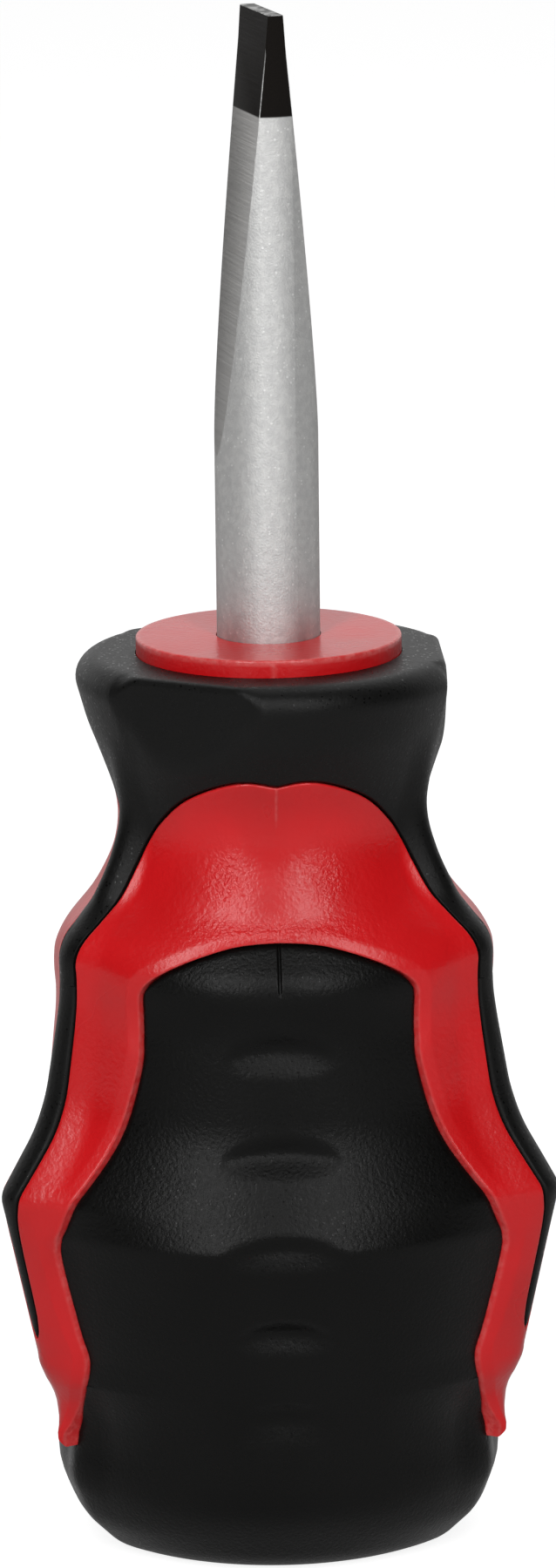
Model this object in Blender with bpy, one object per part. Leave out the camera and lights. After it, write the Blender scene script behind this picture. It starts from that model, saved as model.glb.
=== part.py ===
"""Stubby slotted screwdriver: steel blade, hard handle core, soft neck sleeve, soft base grip.

The handle has three like sides.  Its shapes are laid out on one sixth of the round: the
angle runs from the middle of a panel (0) to the corner between two panels (60 degrees).
Sizes are in millimetres here and become metres as the meshes are written.
The origin is the middle of the flat under the base, +Z runs up the blade.
"""
from math import cos, pi, radians, sin

import bmesh
import bpy
import numpy as np
from mathutils import Matrix, Vector

MM = 0.001

# Blade: a round bar, two ground flats at the tip, two wings pressed out of the tang.
SHANK_DIA = 6.3
BLADE_OUT = 38.05
TIP_THICKNESS = 0.83
WEDGE_ANGLE = 11.6
BLADE_AZIMUTH = 103.5
TANG_LENGTH = 34.0
TANG_CHAMFER = 0.7
WING_OUT = 1.5
WING_LENGTH = 7.0
WING_START = 15.0
WING_HALF_ANGLE = 15.0
BAR_SIDES = 48

# Collar: the end of the core that stands proud round the blade.
COLLAR_DIA = 16.2
COLLAR_THICKNESS = 1.05
COLLAR_EDGE = 0.25

# Handle skin.  Heights shared by the corner line and the face line of the handle.
HANDLE_TOP = 55.55
FLANGE_WIDTH = 4.15
FLANGE_ROUND = 1.4
FLANGE_ROOT = (51.6, 11.15, 6.0)
NECK_DROP = 5.4
WAIST_HEIGHT = FLANGE_ROOT[0] - NECK_DROP
BASE_ROUND = 3.2
FACE_HIP = 21.7
CORNER_HIP = 24.0

# Outline through a corner: height, radius, rounding.
CORNER_LINE = [
    (0.0, 11.0, BASE_ROUND),
    (2.6, 13.65, 4.0),
    (5.2, 14.6, 3.0),
    (7.6, 14.3, 1.5),
    (9.2, 14.5, 1.2),
    (11.9, 16.0, 1.0),
    (13.6, 16.1, 1.5),
    (CORNER_HIP, 18.45, 1.2),
    (28.6, 15.35, 9.0),
    (36.5, 14.2, 14.0),
    (39.1, 14.75, 3.0),
    (42.6, 10.4, 5.0),
    (WAIST_HEIGHT, 9.8, 6.0),
]

# Outline through the middle of a panel.
FACE_LINE = [
    (0.0, 10.3, BASE_ROUND),
    (4.7, 13.5, 5.0),
    (11.0, 14.15, 30.0),
    (FACE_HIP, 16.25, 1.0),
    (27.6, 13.3, 9.0),
    (34.8, 12.75, 12.0),
    (37.3, 13.4, 2.5),
    (41.0, 11.1, 4.0),
    (44.3, 9.35, 6.0),
    (WAIST_HEIGHT + 0.8, 9.0, 6.0),
]

# Rounding of the corners between the sides, at each height.
CORNER_ROUND = [
    (5.0, 2.4),
    (8.0, 1.6),
    (20.5, 1.6),
    (22.7, 2.2),
    (26.0, 2.4),
    (37.0, 2.0),
    (39.0, 3.05),
    (44.0, 4.35),
]

# Crest along each corner, from the neck to the feet of the frames: height, how far it stands out.
CREST_ANGLE = 49.0
CREST = [
    (5.5, 0.0),
    (7.4, 1.3),
    (8.4, 1.6),
    (9.4, 1.25),
    (10.6, 0.6),
    (11.8, 0.45),
    (13.0, 0.9),
    (CORNER_HIP, 0.95),
    (29.0, 1.1),
    (34.0, 0.85),
    (38.0, 0.9),
    (41.3, 1.1),
    (43.2, 1.5),
    (45.3, 1.05),
    (47.4, 0.8),
    (FLANGE_ROOT[0], 0.0),
]

# Neck flange: three flats on the round.
FLAT_DISTANCE = 10.6
FLAT_AZIMUTH = 0.0

# Arch frame: each pair is a point of its outer edge and the point of its inner edge
# across from it (angle, height).  It runs from the crown over the panel's upper corner,
# past the root of the corner strip and the hip, down to the foot of the leg.
ARCH_CROWN = [
    ((0.0, 49.26), (0.0, 39.87)),
    ((10.0, 49.55), (7.0, 39.8)),
    ((20.3, 49.2), (14.0, 39.6)),
    ((33.4, 48.2), (21.0, 39.15)),
    ((42.9, 47.0), (27.0, 38.6)),
    ((50.0, 45.6), (31.5, 38.0)),
    ((53.0, 43.8), (34.6, 37.4)),
    ((53.6, 41.8), (36.4, 36.7)),
]
ARCH_SHOULDER = [
    ((54.7, 40.0), (36.8, 35.5)),
    ((57.2, 38.4), (36.9, 33.9)),
    ((58.0, 36.7), (37.3, 32.0)),
]
ARCH_THIGH = [
    ((57.4, 29.5), (42.3, 27.1)),
    ((57.8, 24.4), (48.4, 22.75)),
    ((58.3, 22.6), (50.2, 21.9)),
]
ARCH_SHIN = [
    ((58.6, 20.6), (50.0, 20.2)),
    ((58.7, 17.0), (48.9, 15.6)),
    ((58.9, 16.0), (48.5, 13.5)),
    ((59.2, 15.35), (49.6, 11.9)),
]
ARCH_FOOT = [
    ((59.5, 15.05), (53.0, 10.1)),
    ((59.75, 14.85), (55.6, 8.6)),
    ((60.0, 14.7), (60.0, 7.4)),
]
FRAME_BEVEL = 0.6

# Soft layers and the clearances between the mouldings.
PANEL_RECESS = 0.5
SLEEVE_WALL = 1.6
GRIP_WALL = 2.0
BASE_FLOOR = 3.0
SEAM = 0.2
BED = 0.2
SOCKET_CLEARANCE = 0.15

# Finger dimples down each panel: height, half width, half height.
DIMPLES = [
    (33.3, 3.1, 1.15),
    (27.1, 3.4, 1.0),
    (21.7, 3.6, 0.95),
    (16.2, 3.1, 1.15),
    (10.4, 2.9, 1.2),
]
DIMPLE_DEPTH = 0.6
DIMPLE_LIFT = 0.5

# Fineness of the meshes: where the rings of the neck, the frame and the base lie.
ROUND_STEPS = 6
ROUND_SHARE = 0.495
EDGE_STEP = 3.3
RIM_LEVELS = (0.0, 0.09, 0.33, 0.7, 1.2)
NECK_LEVELS = (0.25, 0.5, 0.72, 0.88, 1.0)
FRAME_LEVELS = (0.0, 0.3, 0.65, 1.0)
SCOOP_SIDES = 16
SCOOP_RINGS = 10
BASE_LEVELS = (1.0, 0.78, 0.58, 0.41, 0.25, 0.16, 0.075, 0.02, 0.0)
FLOOR_RING = 0.4
SMOOTH_BELOW = 28.0

SECTORS = 3
PANEL_AZIMUTH = -90.0
SIXTH = 180.0 / SECTORS

COLLAR_TOP = HANDLE_TOP + COLLAR_THICKNESS
TIP_HEIGHT = COLLAR_TOP + BLADE_OUT
TANG_END = COLLAR_TOP - TANG_LENGTH
STEM_RADIUS = COLLAR_DIA / 2
FLANGE_RADIUS = STEM_RADIUS + FLANGE_WIDTH
RIM_FOOT = HANDLE_TOP - FLANGE_ROUND * RIM_LEVELS[-1]
ARCH = ARCH_CROWN + ARCH_SHOULDER + ARCH_THIGH + ARCH_SHIN + ARCH_FOOT
PANEL_CORNER = len(ARCH_CROWN) - 1
STRIP_ROOT = PANEL_CORNER + len(ARCH_SHOULDER)
HIP = STRIP_ROOT + len(ARCH_THIGH)
LEG_FOOT = HIP + len(ARCH_SHIN)


def rounded_line(points):
    """Heights and radii along an outline whose inner points are rounded to their radius."""
    line = [np.array(points[0][:2])]
    for before, here, after in zip(points, points[1:], points[2:]):
        centre = np.array(here[:2])
        back = np.array(before[:2]) - centre
        ahead = np.array(after[:2]) - centre
        back_length, ahead_length = np.linalg.norm(back), np.linalg.norm(ahead)
        back, ahead = back / back_length, ahead / ahead_length
        half = np.arccos(np.clip(back @ ahead, -1, 1)) / 2
        longest = ROUND_SHARE * min(back_length, ahead_length)
        reach = min(here[2] / np.tan(half), longest)
        radius = reach * np.tan(half)
        middle = centre + (back + ahead) / np.linalg.norm(back + ahead) * radius / np.sin(half)
        start, end = centre + back * reach - middle, centre + ahead * reach - middle
        sweep = pi - 2 * half
        for part in np.linspace(0, 1, ROUND_STEPS + 1):
            line.append(middle + (np.sin((1 - part) * sweep) * start
                                  + np.sin(part * sweep) * end) / np.sin(sweep))
    line = np.array(line[1:])
    return line[:, 0], line[:, 1]


def outline(points):
    """Close an outline with the base flat below it and the flange above it."""
    base = (0.0, 0.0, 0.0)
    flange = [FLANGE_ROOT, (HANDLE_TOP, FLANGE_RADIUS, FLANGE_ROUND),
              (HANDLE_TOP, STEM_RADIUS, 0.0)]
    return rounded_line([base] + points + flange)


CORNER_OUTLINE = outline(CORNER_LINE)
FACE_OUTLINE = outline(FACE_LINE)


def at_height(height, table):
    """Value of a table of (height, value) at a height between its rows."""
    return np.interp(height, *np.transpose(table))


def body(angle, height):
    """Radius of the plain handle: a triangle of three long arcs with rounded corners."""
    face = np.interp(height, *FACE_OUTLINE)
    corner = np.interp(height, *CORNER_OUTLINE)
    rounding = at_height(height, CORNER_ROUND)
    reach, near = corner - rounding, face - rounding
    back = (reach ** 2 - near ** 2) / (2 * near - reach)
    bow = face + back
    side, front = reach * sin(pi / 3), reach * cos(pi / 3) + back
    length = np.hypot(side, front)
    meet = np.arctan2(bow * side / length, bow * front / length - back)
    turn = radians(angle)
    if turn <= meet:
        return np.sqrt(bow ** 2 - (back * np.sin(turn)) ** 2) - back * np.cos(turn)
    turn = pi / 3 - turn
    return reach * np.cos(turn) + np.sqrt(rounding ** 2 - (reach * np.sin(turn)) ** 2)


def skin(angle, height):
    """Radius of the handle with the crests that stand out along its corners."""
    rise = np.clip((angle - CREST_ANGLE) / (SIXTH - CREST_ANGLE), 0, 1)
    return body(angle, height) + at_height(height, CREST) * rise ** 2 * (3 - 2 * rise)


def panel_drop(height):
    """How far a soft panel lies below the frame; it runs out to the base."""
    return PANEL_RECESS * np.clip((height - BASE_FLOOR) / (DIMPLES[-1][0] - BASE_FLOOR), 0, 1)


def panel_skin(angle, height):
    """Radius of the soft panel."""
    return skin(angle, height) - panel_drop(height)


def sleeve_bed(angle, height, gap=0.0):
    """Radius of the seat under the sleeve."""
    return min(STEM_RADIUS + gap, body(angle, height) - SLEEVE_WALL - BED + gap)


def grip_bed(angle, height, gap=0.0):
    """Radius and height of the seat under the grip; it closes over a flat floor."""
    floor = BASE_FLOOR + BED - gap
    level = max(height, floor)
    radius = body(angle, level) - panel_drop(level) - GRIP_WALL - BED + gap
    if height < floor:
        radius *= FLOOR_RING + (1 - FLOOR_RING) * height / floor
    return radius, level


def through(points, steps):
    """Smooth run through the points, each stretch cut into its number of steps."""
    keys = np.array(points)
    keys = np.vstack([2 * keys[0] - keys[1], keys, 2 * keys[-1] - keys[-2]])
    run = []
    for index, count in enumerate(steps):
        a, b, c, d = keys[index:index + 4]
        for part in np.arange(count) / count:
            run.append(0.5 * (2 * b + (c - a) * part + (2 * a - 5 * b + 4 * c - d) * part ** 2
                              + (3 * b - a - 3 * c + d) * part ** 3))
    run.append(keys[-2])
    return np.array(run)


def shifted(run, distance):
    """The edge moved across itself, towards the crown for a positive distance."""
    moved = []
    for index, (angle, height) in enumerate(run):
        after = run[min(index + 1, len(run) - 1)]
        before = run[max(index - 1, 0)]
        arc = radians(1) * skin(angle, height)
        along = np.array([(after[0] - before[0]) * arc, after[1] - before[1]])
        along /= np.linalg.norm(along)
        across = np.array([-along[1] / arc, along[0]]) * distance
        if index in (0, len(run) - 1):
            across = np.array([0.0, distance])
        moved.append((min(angle + across[0], SIXTH), height + across[1]))
    return np.array(moved)


def steps_between(pair, following):
    """Number of steps for the longer one of the two edges between neighbouring pairs."""
    longest = 0.0
    for (angle, height), (next_angle, next_height) in zip(pair, following):
        arc = radians(next_angle - angle) * skin(angle, height)
        longest = max(longest, np.hypot(arc, next_height - height))
    return max(1, round(longest / EDGE_STEP))


ARCH_STEPS = [steps_between(*pairs) for pairs in zip(ARCH, ARCH[1:])]


def at_step(key):
    return sum(ARCH_STEPS[:key])


OUTER_EDGE = through([pair[0] for pair in ARCH], ARCH_STEPS)
INNER_EDGE = through([pair[1] for pair in ARCH], ARCH_STEPS)


class Form:
    """A mesh laid out on one sixth of the handle and repeated round it."""

    def __init__(self, name):
        self.name = name
        self.bm = bmesh.new()
        self.known = {}

    def vert(self, azimuth, radius, height):
        place = (radius * cos(azimuth), radius * sin(azimuth), height)
        key = tuple(round(value, 5) for value in place)
        if key not in self.known:
            self.known[key] = self.bm.verts.new(Vector(place) * MM)
        return self.known[key]

    def around(self):
        for sector in range(SECTORS):
            for hand in (1, -1):
                yield radians(PANEL_AZIMUTH + 360 / SECTORS * sector), hand

    def lay(self, rows):
        """Quads between rows of (angle, height, radius) nodes."""
        for middle, hand in self.around():
            net = [[self.vert(middle + hand * radians(angle), radius, height)
                    for angle, height, radius in row] for row in rows]
            for upper, lower in zip(net, net[1:]):
                for index in range(len(upper) - 1):
                    ring = [upper[index], upper[index + 1], lower[index + 1], lower[index]]
                    ring = list(dict.fromkeys(ring))
                    if len(ring) > 2:
                        self.bm.faces.new(ring[::hand])

    def cap(self, row):
        """One flat face inside a full ring of nodes."""
        ring = []
        for middle, hand in self.around():
            for angle, height, radius in row:
                azimuth = middle + hand * radians(angle)
                ring.append((azimuth % (2 * pi), self.vert(azimuth, radius, height)))
        ordered = [vert for azimuth, vert in sorted(ring, key=lambda item: item[0])]
        self.bm.faces.new(list(dict.fromkeys(ordered)))

    def finish(self):
        bmesh.ops.recalc_face_normals(self.bm, faces=self.bm.faces)
        return finish(self.name, self.bm)


def finish(name, bm):
    mesh = bpy.data.meshes.new(name)
    bm.to_mesh(mesh)
    bm.free()
    mesh.shade_smooth()
    mesh.set_sharp_from_angle(angle=radians(SMOOTH_BELOW))
    made = bpy.data.objects.new(name, mesh)
    bpy.context.scene.collection.objects.link(made)
    return made


def cut(body, cutter):
    """Take the cutter out of the body."""
    cutter.hide_render = True
    cutter.display_type = "WIRE"
    taken = body.modifiers.new("cut", "BOOLEAN")
    taken.operation = "DIFFERENCE"
    taken.solver = "EXACT"
    taken.object = cutter
    depsgraph = bpy.context.evaluated_depsgraph_get()
    result = bpy.data.meshes.new_from_object(body.evaluated_get(depsgraph))
    body.modifiers.clear()
    body.data = result
    bpy.data.objects.remove(cutter)


def neck_rows(edge, radius):
    """The neck from the flange down to the arch, and the corner below the arch's shoulder."""
    crown = [(angle, height) for angle, height in edge[:at_step(STRIP_ROOT) + 1]]
    crown.append((SIXTH, crown[-1][1]))
    rows = []
    for part in RIM_LEVELS:
        level = HANDLE_TOP - FLANGE_ROUND * part
        rows.append([(angle, level, radius(angle, level)) for angle, height in crown])
    for part in NECK_LEVELS:
        row = []
        for angle, height in crown:
            level = RIM_FOOT + (height - RIM_FOOT) * part
            row.append((angle, level, radius(angle, level)))
        rows.append(row)
    return rows


def strip_rows(edge, radius):
    """The narrow strip that runs down each corner between two frames."""
    rows = []
    for angle, height in edge[at_step(STRIP_ROOT):]:
        rows.append([(angle, height, radius(angle, height)), (SIXTH, height, radius(SIXTH, height))])
    return rows


def panel_places(edge):
    """Nodes of a panel: a net stretched between its arch, its side, its foot and its middle."""
    crown = edge[:at_step(PANEL_CORNER) + 1]
    side = edge[at_step(PANEL_CORNER):at_step(LEG_FOOT) + 1]
    hip = edge[at_step(HIP)][1]
    rows = []
    for down, (edge_angle, edge_height) in enumerate(side):
        v = down / (len(side) - 1)
        middle_height = np.interp(edge_height, [side[-1][1], hip, side[0][1]],
                                  [side[-1][1], FACE_HIP, crown[0][1]])
        row = []
        for index, (angle, height) in enumerate(crown):
            u = index / (len(crown) - 1)
            place_angle = (1 - v) * angle + v * u * side[-1][0]
            place_angle += u * (edge_angle - (1 - v) * crown[-1][0] - v * side[-1][0])
            place_height = (1 - u) * middle_height + u * edge_height + (1 - v) * height
            place_height -= (1 - v) * ((1 - u) * crown[0][1] + u * crown[-1][1])
            row.append((place_angle, place_height))
        rows.append(row)
    return rows


def base_places(edge):
    """Nodes below the panels and the legs of the frame, down to the flat of the base."""
    crown = panel_places(edge)[-1] + [tuple(place) for place in edge[at_step(LEG_FOOT) + 1:]]
    return [[(angle, height * part) for angle, height in crown]
            for part in BASE_LEVELS]


def on(places, radius):
    return [[(angle, height, radius(angle, height)) for angle, height in row] for row in places]


def in_bed(places, gap=0.0):
    rows = []
    for row in places:
        rows.append([])
        for angle, height in row:
            radius, level = grip_bed(angle, height, gap)
            rows[-1].append((angle, level, radius))
    return rows


def make_bar(grow, top):
    """The blade's round bar with its wings; grown, it is the room that the core leaves for it."""
    bm = bmesh.new()
    radius = SHANK_DIA / 2 + grow
    low = TANG_END - grow
    middle = (top + low) / 2 * MM
    bmesh.ops.create_cone(bm, cap_ends=True, segments=BAR_SIDES, radius1=radius * MM,
                          radius2=radius * MM, depth=(top - low) * MM,
                          matrix=Matrix.Translation((0, 0, middle)))
    foot = [edge for edge in bm.edges if all(vert.co.z < middle for vert in edge.verts)]
    bmesh.ops.bevel(bm, geom=foot, offset=TANG_CHAMFER * MM, segments=1, affect="EDGES")
    wing_top = COLLAR_TOP - WING_START + grow
    wing_low = COLLAR_TOP - WING_START - WING_LENGTH - grow
    for level in (wing_low, wing_top):
        bmesh.ops.bisect_plane(bm, geom=bm.verts[:] + bm.edges[:] + bm.faces[:],
                               plane_co=(0, 0, level * MM), plane_no=(0, 0, 1))
    for hand in (1, -1):
        pad = []
        for face in bm.faces:
            level = face.calc_center_median().z / MM
            if wing_low < level < wing_top:
                if hand * face.normal.x > cos(radians(WING_HALF_ANGLE)):
                    pad.append(face)
        raised = bmesh.ops.extrude_face_region(bm, geom=pad)["geom"]
        tops = [item for item in raised if isinstance(item, bmesh.types.BMVert)]
        for vert in tops:
            vert.co.x = hand * (SHANK_DIA / 2 + WING_OUT + grow) * MM
        bmesh.ops.delete(bm, geom=pad, context="FACES")
    bmesh.ops.recalc_face_normals(bm, faces=bm.faces)
    return bm


def make_blade():
    bm = make_bar(0.0, TIP_HEIGHT)
    lean = radians(WEDGE_ANGLE / 2)
    for hand in (1, -1):
        bmesh.ops.bisect_plane(bm, geom=bm.verts[:] + bm.edges[:] + bm.faces[:], clear_outer=True,
                               plane_co=(0, hand * TIP_THICKNESS / 2 * MM, TIP_HEIGHT * MM),
                               plane_no=(0, hand * cos(lean), sin(lean)))
        rim = [edge for edge in bm.edges if edge.is_boundary]
        bmesh.ops.holes_fill(bm, edges=rim, sides=0)
    bmesh.ops.rotate(bm, verts=bm.verts, matrix=Matrix.Rotation(radians(BLADE_AZIMUTH), 3, "Z"))
    bmesh.ops.recalc_face_normals(bm, faces=bm.faces)
    return finish("blade", bm)


def make_core():
    """Hard core: stem and collar, three arch frames, seats for the soft pieces, tang socket."""
    form = Form("handle_core")
    outer = shifted(OUTER_EDGE, -SEAM)
    inner = shifted(INNER_EDGE, SEAM)
    form.lay(neck_rows(outer, sleeve_bed))
    form.lay(strip_rows(outer, sleeve_bed))
    frame = []
    for start, end in zip(outer, inner):
        span = end - start
        width = np.hypot(span[0] * radians(1) * skin(*start), span[1])
        lip = 1 - FRAME_BEVEL / width
        rib = []
        for part in FRAME_LEVELS:
            angle, height = start + span * lip * part
            rib.append((angle, height, skin(angle, height)))
        rib.append((end[0], end[1], panel_skin(*end)))
        frame.append(rib)
    form.lay(frame)
    form.lay([[(angle, height, sleeve_bed(angle, height)) for angle, height in outer],
              [(angle, height, skin(angle, height)) for angle, height in outer]])
    form.lay([[(angle, height, panel_skin(angle, height)) for angle, height in inner],
              [(angle, grip_bed(angle, height)[1], grip_bed(angle, height)[0])
               for angle, height in inner]])
    form.lay(in_bed(panel_places(inner)))
    base = in_bed(base_places(inner))
    form.lay(base)
    form.cap(base[-1])
    ring = [angle for angle, height, radius in neck_rows(outer, sleeve_bed)[0]]
    collar = [[(angle, height, radius) for angle in ring] for height, radius in (
        (HANDLE_TOP, STEM_RADIUS), (COLLAR_TOP - COLLAR_EDGE, STEM_RADIUS),
        (COLLAR_TOP, STEM_RADIUS - COLLAR_EDGE))]
    form.lay(collar)
    form.cap(collar[-1])
    core = form.finish()
    room = make_bar(SOCKET_CLEARANCE, COLLAR_TOP + COLLAR_THICKNESS)
    bmesh.ops.rotate(room, verts=room.verts, matrix=Matrix.Rotation(radians(BLADE_AZIMUTH), 3, "Z"))
    cut(core, finish("socket", room))
    return core


def make_sleeve():
    """Soft neck sleeve: flange, waist and three corner strips, with three flats on the flange."""
    form = Form("neck_sleeve")

    def seat(angle, height):
        return sleeve_bed(angle, height, BED)

    top, under = neck_rows(OUTER_EDGE, skin), neck_rows(OUTER_EDGE, seat)
    form.lay(top)
    form.lay(under)
    form.lay(strip_rows(OUTER_EDGE, skin))
    form.lay(strip_rows(OUTER_EDGE, seat))
    form.lay([top[0], under[0]])
    form.lay([[(angle, height, radius(angle, height)) for angle, height in OUTER_EDGE]
              for radius in (skin, seat)])
    bmesh.ops.recalc_face_normals(form.bm, faces=form.bm.faces)
    for sector in range(SECTORS):
        azimuth = radians(FLAT_AZIMUTH + 360 / SECTORS * sector)
        facing = Vector((cos(azimuth), sin(azimuth), 0))
        flange = [face for face in form.bm.faces if face.calc_center_median().z > WAIST_HEIGHT * MM]
        near = set(flange)
        for face in flange:
            near.update(face.edges)
            near.update(face.verts)
        bmesh.ops.bisect_plane(form.bm, geom=list(near), clear_outer=True,
                               plane_co=facing * FLAT_DISTANCE * MM, plane_no=facing)
        rim = [edge for edge in form.bm.edges if edge.is_boundary]
        bmesh.ops.holes_fill(form.bm, edges=rim, sides=0)
    return form.finish()


def make_grip():
    """Soft base grip: closed base and three panels, each with its row of finger dimples."""
    form = Form("base_grip")
    panel, base = panel_places(INNER_EDGE), base_places(INNER_EDGE)
    form.lay(on(panel, panel_skin))
    form.lay(on(base, panel_skin))
    form.cap(on(base, panel_skin)[-1])
    form.lay(in_bed(panel, BED))
    form.lay(in_bed(base, BED))
    form.cap(in_bed(base, BED)[-1])
    form.lay(on([INNER_EDGE], panel_skin) + in_bed([INNER_EDGE], BED))
    grip = form.finish()

    scoops = bmesh.new()
    for sector in range(SECTORS):
        azimuth = radians(PANEL_AZIMUTH + 360 / SECTORS * sector)
        for height, half_width, half_height in DIMPLES:
            place = (panel_skin(0.0, height) + DIMPLE_LIFT) * MM
            reach = DIMPLE_LIFT + DIMPLE_DEPTH
            spread = (1 - (DIMPLE_LIFT / reach) ** 2) ** -0.5
            size = Vector((reach, half_width * spread, half_height * spread)) * MM
            bmesh.ops.create_uvsphere(
                scoops, u_segments=SCOOP_SIDES, v_segments=SCOOP_RINGS, radius=1.0,
                matrix=Matrix.Rotation(azimuth, 4, "Z") @ Matrix.Translation((place, 0, height * MM))
                @ Matrix.Diagonal(size).to_4x4() @ Matrix.Rotation(pi / 2, 4, "X"))
    cut(grip, finish("scoops", scoops))
    return grip


def paint(made, name, colour, metallic, roughness):
    material = bpy.data.materials.new(name)
    material.use_nodes = True
    shader = material.node_tree.nodes["Principled BSDF"]
    shader.inputs["Base Color"].default_value = (*colour, 1.0)
    shader.inputs["Metallic"].default_value = metallic
    shader.inputs["Roughness"].default_value = roughness
    made.data.materials.clear()
    made.data.materials.append(material)


for leftover in list(bpy.data.objects):
    bpy.data.objects.remove(leftover)

paint(make_blade(), "satin_steel", (0.55, 0.55, 0.54), 1.0, 0.35)
paint(make_core(), "red_core", (0.58, 0.017, 0.02), 0.0, 0.3)
paint(make_sleeve(), "black_sleeve", (0.012, 0.012, 0.011), 0.0, 0.55)
paint(make_grip(), "black_grip", (0.012, 0.012, 0.011), 0.0, 0.6)
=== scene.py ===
from math import cos, pi, radians, sin

import bpy
import numpy as np
from mathutils import Matrix


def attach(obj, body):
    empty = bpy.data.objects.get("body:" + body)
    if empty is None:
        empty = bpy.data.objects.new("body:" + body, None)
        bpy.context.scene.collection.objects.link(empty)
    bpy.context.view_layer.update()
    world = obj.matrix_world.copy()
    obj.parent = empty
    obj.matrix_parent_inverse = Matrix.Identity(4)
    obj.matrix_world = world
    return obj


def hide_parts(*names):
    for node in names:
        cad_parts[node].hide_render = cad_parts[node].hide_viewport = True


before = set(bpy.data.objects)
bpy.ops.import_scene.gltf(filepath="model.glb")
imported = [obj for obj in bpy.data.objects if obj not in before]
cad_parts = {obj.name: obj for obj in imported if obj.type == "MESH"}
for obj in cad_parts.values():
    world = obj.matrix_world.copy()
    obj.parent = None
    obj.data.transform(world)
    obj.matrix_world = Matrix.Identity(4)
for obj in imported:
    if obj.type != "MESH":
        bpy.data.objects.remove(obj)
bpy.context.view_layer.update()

mm = 0.001
print("frame loaded:", ", ".join(sorted(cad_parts)))


# small helpers

mergeSettings = {"piece": 0.002, "sides": 0.004, "walls": 0.0005}  # mm


def leaveEdit():
    bpy.ops.object.mode_set(mode="OBJECT")


def clearSelection():
    if bpy.context.object and bpy.context.object.mode != "OBJECT":
        leaveEdit()
    bpy.ops.object.select_all(action="DESELECT")


def pick(piece):
    clearSelection()
    piece.select_set(True)
    bpy.context.view_layer.objects.active = piece


def added(name):
    piece = bpy.context.object
    piece.name = name
    piece.data.name = name
    return piece


def applied(piece, kind, **values):
    pick(piece)
    step = piece.modifiers.new(kind.lower(), kind)
    for key, value in values.items():
        setattr(step, key, value)
    bpy.ops.object.modifier_apply(modifier=step.name)


def joined(pieces, name):
    pick(pieces[0])
    for piece in pieces:
        piece.select_set(True)
    bpy.ops.object.join()
    return added(name)


def editPiece(piece, action="SELECT", kind=None):
    pick(piece)
    bpy.ops.object.mode_set(mode="EDIT")
    if kind:
        bpy.ops.mesh.select_mode(type=kind)
    bpy.ops.mesh.select_all(action=action)


def cleaned(piece, distance=mergeSettings["piece"]):
    editPiece(piece)
    bpy.ops.mesh.remove_doubles(threshold=distance * mm)
    bpy.ops.mesh.normals_make_consistent(inside=False)
    leaveEdit()


def cut(piece, place, normal, **values):
    editPiece(piece)
    bpy.ops.mesh.bisect(plane_co=[part * mm for part in place], plane_no=normal, **values)
    leaveEdit()


def cylinder(name, sides, radius, low, high):
    clearSelection()
    bpy.ops.mesh.primitive_cylinder_add(vertices=sides, radius=radius * mm, depth=(high - low) * mm,
                                        location=(0, 0, (high + low) / 2 * mm))
    bpy.ops.object.transform_apply(location=True, rotation=True, scale=True)
    return added(name)


def pointsOf(piece):
    spots = np.empty(len(piece.data.vertices) * 3)
    piece.data.vertices.foreach_get("co", spots)
    return spots.reshape(-1, 3)


def selectFaces(piece, wanted):
    # faces by their middle (mm) and normal, left selected in edit mode
    editPiece(piece, "DESELECT", "FACE")
    leaveEdit()
    for face in piece.data.polygons:
        face.select = bool(wanted(face.center / mm, face.normal))
    bpy.ops.object.mode_set(mode="EDIT")


def selectEdges(piece, wanted):
    # edges by their two ends (mm), left selected in edit mode
    editPiece(piece, "DESELECT", "EDGE")
    leaveEdit()
    points = piece.data.vertices
    for edge in piece.data.edges:
        a, b = (points[index].co / mm for index in edge.vertices)
        edge.select = bool(wanted(a, b))
    bpy.ops.object.mode_set(mode="EDIT")


# the handle's form: angle 0 is the middle of a panel, cornerAngle the corner between two panels

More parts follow.
